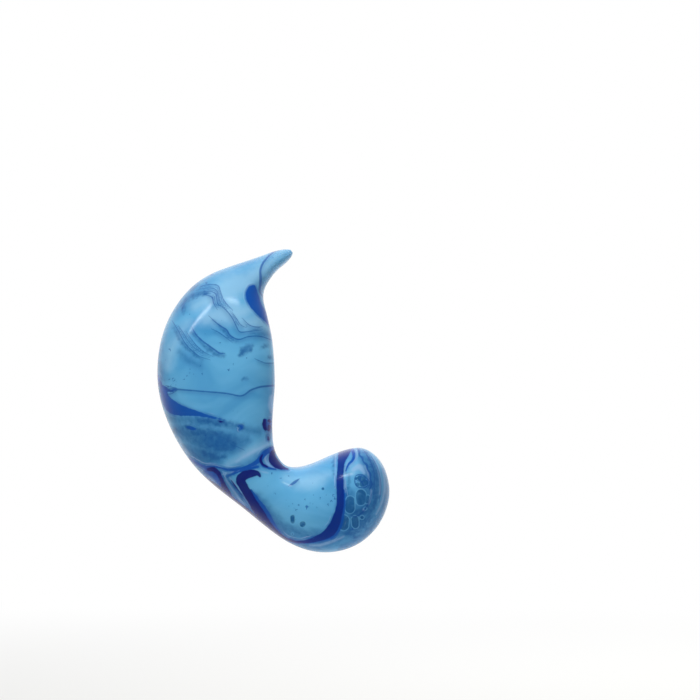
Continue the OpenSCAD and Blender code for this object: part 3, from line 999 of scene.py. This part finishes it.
def makePlug():
    r, thick, stem, corner = plugShape["head"], plugShape["thick"], plugShape["stem"], plugShape["rounding"]
    end = plugLow.y - port.y
    gate, dip, (rimOut, rimDown) = plugShape["gate"], plugShape["gateDepth"], plugShape["gateRim"]
    profile = [(0, -dip), (gate * plugShape["gateFlat"], -dip), (gate, -rimDown), (gate + rimOut, 0)]
    profile += roundedCorner(r - corner, -corner, corner, 90, 0)
    profile += [(r, -thick), (stem, -thick), (stem, end + corner), (stem - corner, end), (0, end)]
    piece = turned("port_plug_rubber", profile)
    piece.data.materials.append(plugMaterial())
    return piece


def glueMaterial():
    # Cured clear adhesive, hand laid: wet-looking, with tiny bubbles
    material, tree = startMaterial("adhesiveCuredClear")
    place = addNode(tree, "ShaderNodeTexCoord").outputs["Object"]
    bubbles = addNode(tree, "ShaderNodeTexVoronoi", {"Vector": place, "Scale": 1 / beadShape["bubble"]})
    colour = addNode(tree, "ShaderNodeMix", {0: bubbles, 6: sRgb(beadShape["glueClear"]),
                                             7: sRgb(beadShape["glue"])}, data_type="RGBA")
    bump = addNode(tree, "ShaderNodeBump", {"Height": bubbles, "Strength": beadShape["bubbleStrength"],
                                            "Distance": beadShape["bubbleDepth"]})
    surface = addNode(tree, "ShaderNodeBsdfPrincipled", {
        "Base Color": colour.outputs[2], "Roughness": beadShape["roughness"], "IOR": beadShape["ior"],
        "Normal": bump, "Transmission Weight": beadShape["clear"],
    })
    addNode(tree, "ShaderNodeOutputMaterial", {"Surface": surface})
    return material


def makeBead():
    middle = (beadShape["inner"] + beadShape["outer"]) / 2
    half = (beadShape["outer"] - beadShape["inner"]) / 2
    turns = [math.pi * i / beadShape["crownSteps"] for i in range(beadShape["crownSteps"] + 1)]
    crown = [(middle + half * math.cos(t), beadShape["rise"] * math.sin(t)) for t in turns]
    foot = [(beadShape["inner"], -beadShape["depth"]), (beadShape["outer"], -beadShape["depth"])]
    piece = turned("glue_ring", [*crown, *foot, crown[0]])
    for v in piece.data.vertices:  # the bead's height wanders as a hand lays it
        over = v.co.y - port.y
        if over > 0:
            turn = math.atan2(v.co.z - port.z, v.co.x - port.x)
            wander = sum(share * math.sin(count * turn + start) for count, start, share in beadShape["waves"])
            v.co.y = port.y + over * (1 - beadShape["uneven"] + beadShape["uneven"] * wander)
    piece.data.materials.append(glueMaterial())
    return piece


plug = makePlug()
bead = makeBead()
print("plug and bead made")


# Each piece stands for a solid and rides a body.

finishedPieces = (
    (skin, "ball", "skin", "marbled_rubber"),
    (fill, "ball", "fill", "dough"),
    (plug, "port_plug", "plug", "plug_rubber"),
    (bead, "port_plug", "glue_bead", "clear_glue"),
)

for piece, body, node, slot in finishedPieces:
    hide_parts(node)
    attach(piece, body)
    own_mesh(piece)


# The ball hangs over a plain floor, in soft light, before a white background.

studio = {
    "floorZ": -0.17,               # the ball hangs in a hand's grip, well over the floor
    "floorSize": 30.0,
    "floorColour": "#e2e2e0",
    "floorShown": (0.35, 1.1),     # beyond these distances the floor runs into the white background
    "ambient": 0.2,
}
lamps = {  # where each lamp stands, its size in metres, its power in watts, and what it is seen in
    "key": ((-0.25, -0.55, 1.05), (0.6, 0.6), 13.5, "diffuse"),
    "fill": ((0.9, -0.8, 0.1), (0.6, 0.6), 1.5, "diffuse"),
    "back": ((0.3, 0.9, 0.6), (0.6, 0.6), 8.0, "diffuse"),
    "strip": ((-0.8, -0.7, 0.64), (1.0, 0.025), 24.0, "gloss"),
    "glint": ((0.24, -0.7, 0.71), (0.36, 0.02), 6.0, "gloss"),
}


def seenShare(tree):  # 1 for rays that show the background itself, straight or in gloss or glass
    path = addNode(tree, "ShaderNodeLightPath")
    first = addNode(tree, "ShaderNodeMath", {
        0: path.outputs["Is Camera Ray"], 1: path.outputs["Is Glossy Ray"],
    }, operation="MAXIMUM")
    return addNode(tree, "ShaderNodeMath", {0: first, 1: path.outputs["Is Transmission Ray"]},
                   operation="MAXIMUM")


def makeWorld():
    world = bpy.data.worlds.new("studioWhite")
    world.use_nodes = True
    tree = world.node_tree
    tree.nodes.clear()
    strength = addNode(tree, "ShaderNodeMapRange", {
        "Value": seenShare(tree), "To Min": studio["ambient"], "To Max": 1.0,
    })
    background = addNode(tree, "ShaderNodeBackground", {"Color": (1, 1, 1, 1), "Strength": strength})
    addNode(tree, "ShaderNodeOutputWorld", {"Surface": background})
    scene.world = world


def floorMaterial():
    # Matt paper: plain and pale, with the object's shadow, running into white far away
    material, tree = startMaterial("paperMattWhite")
    place = addNode(tree, "ShaderNodeTexCoord").outputs["Object"]
    distance = addNode(tree, "ShaderNodeVectorMath", {0: place}, operation="LENGTH").outputs["Value"]
    far = addNode(tree, "ShaderNodeMapRange", {
        "Value": distance, "From Min": studio["floorShown"][0], "From Max": studio["floorShown"][1],
    }, interpolation_type="SMOOTHSTEP")
    share = addNode(tree, "ShaderNodeMath", {0: far, 1: seenShare(tree)}, operation="MULTIPLY")
    matt = addNode(tree, "ShaderNodeBsdfDiffuse", {"Color": sRgb(studio["floorColour"])})
    white = addNode(tree, "ShaderNodeEmission", {"Color": (1, 1, 1, 1), "Strength": 1.0})
    mixed = addNode(tree, "ShaderNodeMixShader", {0: share, 1: matt, 2: white})
    addNode(tree, "ShaderNodeOutputMaterial", {"Surface": mixed})
    return material


def makeFloor():
    shape = bmesh.new()
    bmesh.ops.create_grid(shape, x_segments=1, y_segments=1, size=studio["floorSize"] / 2)
    bmesh.ops.translate(shape, verts=shape.verts, vec=(0, 0, studio["floorZ"]))
    floor = makePiece("floor", shape)
    floor.data.materials.append(floorMaterial())


def makeLamps():
    for name, (where, size, power, seenIn) in lamps.items():
        data = bpy.data.lights.new(name, "AREA")
        data.shape = "RECTANGLE"
        data.size, data.size_y = size
        data.energy = power
        lamp = bpy.data.objects.new(name, data)
        lamp.location = where
        # a gloss lamp's long side stays along X
        toward = Vector((where[0] if seenIn == "gloss" else 0, 0, 0))
        lamp.rotation_euler = (toward - Vector(where)).to_track_quat("-Z", "Y").to_euler()
        lamp.visible_glossy = seenIn == "gloss"
        lamp.visible_diffuse = seenIn == "diffuse"
        scene.collection.objects.link(lamp)


makeWorld()
makeFloor()
makeLamps()
scene.view_settings.view_transform = "Standard"

print("scene ready")
